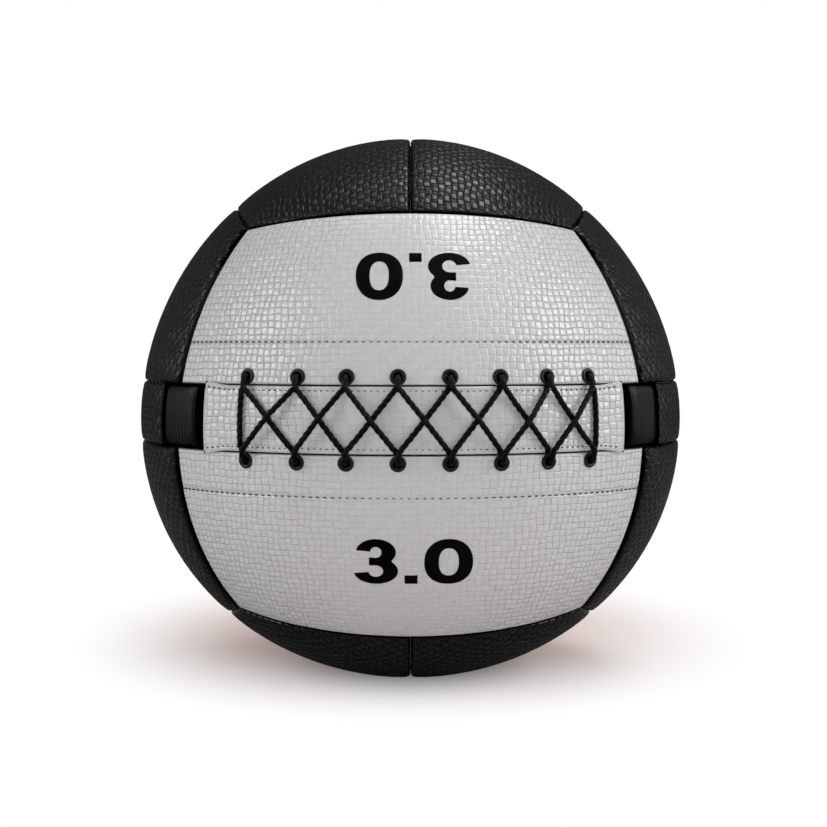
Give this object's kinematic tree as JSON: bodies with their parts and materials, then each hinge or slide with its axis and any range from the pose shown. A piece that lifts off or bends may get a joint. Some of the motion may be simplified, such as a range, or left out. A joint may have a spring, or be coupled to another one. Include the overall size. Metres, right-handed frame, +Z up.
{
  "type": "wall ball",
  "caption": "Soft round ball in sewn textured vinyl panels, closed across one face by a flap and a criss-cross lace, for throwing at a wall and catching.",
  "frame": {"origin": "on the floor under the middle of the ball, at the small flat it rests on", "axes": "+Z up through the ball's middle, -Y out of the laced face, +X to the right of someone who looks at the laced face"},
  "size_m": [0.3496, 0.3575, 0.3493],
  "materials": {
    "grey_vinyl": "light grey vinyl-coated fabric with an embossed woven-strip pattern",
    "black_vinyl": "charcoal vinyl-coated fabric with the same embossed pattern",
    "webbing": "black ribbed webbing",
    "facing": "plain cloth strip",
    "eyelet": "black lacquered",
    "washer": "black lacquered",
    "lace": "black twisted cord",
    "foam": "soft foam sheet",
    "lining": "plain cloth",
    "filling": "packed fibre",
    "canvas": "canvas",
    "tie": "cotton cord"
  },
  "bodies": {
    "root": {"front_upper_panel": "grey_vinyl", "front_lower_panel": "grey_vinyl", "back_upper_panel": "grey_vinyl", "back_band": "grey_vinyl", "back_lower_panel": "grey_vinyl", "lace_flap": "grey_vinyl", "left_upper_panel": "black_vinyl", "left_band": "black_vinyl", "left_lower_panel": "black_vinyl", "right_upper_panel": "black_vinyl", "right_band": "black_vinyl", "right_lower_panel": "black_vinyl", "top_left_panel": "black_vinyl", "top_right_panel": "black_vinyl", "bottom_left_panel": "black_vinyl", "bottom_right_panel": "black_vinyl", "opening_webbing": "webbing", "upper_hem_facing": "facing", "lower_hem_facing": "facing", "eyelet_upper_1": "eyelet", "eyelet_upper_2": "eyelet", "eyelet_upper_3": "eyelet", "eyelet_upper_4": "eyelet", "eyelet_upper_5": "eyelet", "eyelet_upper_6": "eyelet", "eyelet_upper_7": "eyelet", "eyelet_upper_8": "eyelet", "eyelet_lower_1": "eyelet", "eyelet_lower_2": "eyelet", "eyelet_lower_3": "eyelet", "eyelet_lower_4": "eyelet", "eyelet_lower_5": "eyelet", "eyelet_lower_6": "eyelet", "eyelet_lower_7": "eyelet", "eyelet_lower_8": "eyelet", "washer_upper_1": "washer", "washer_upper_2": "washer", "washer_upper_3": "washer", "washer_upper_4": "washer", "washer_upper_5": "washer", "washer_upper_6": "washer", "washer_upper_7": "washer", "washer_upper_8": "washer", "washer_lower_1": "washer", "washer_lower_2": "washer", "washer_lower_3": "washer", "washer_lower_4": "washer", "washer_lower_5": "washer", "washer_lower_6": "washer", "washer_lower_7": "washer", "washer_lower_8": "washer", "lace": "lace", "upper_foam_shell": "foam", "lower_foam_shell": "foam", "lining": "lining", "upper_filling": "filling", "lower_filling": "filling", "weight_bag": "canvas", "bag_tie": "tie"}
  },
  "joints": []
}
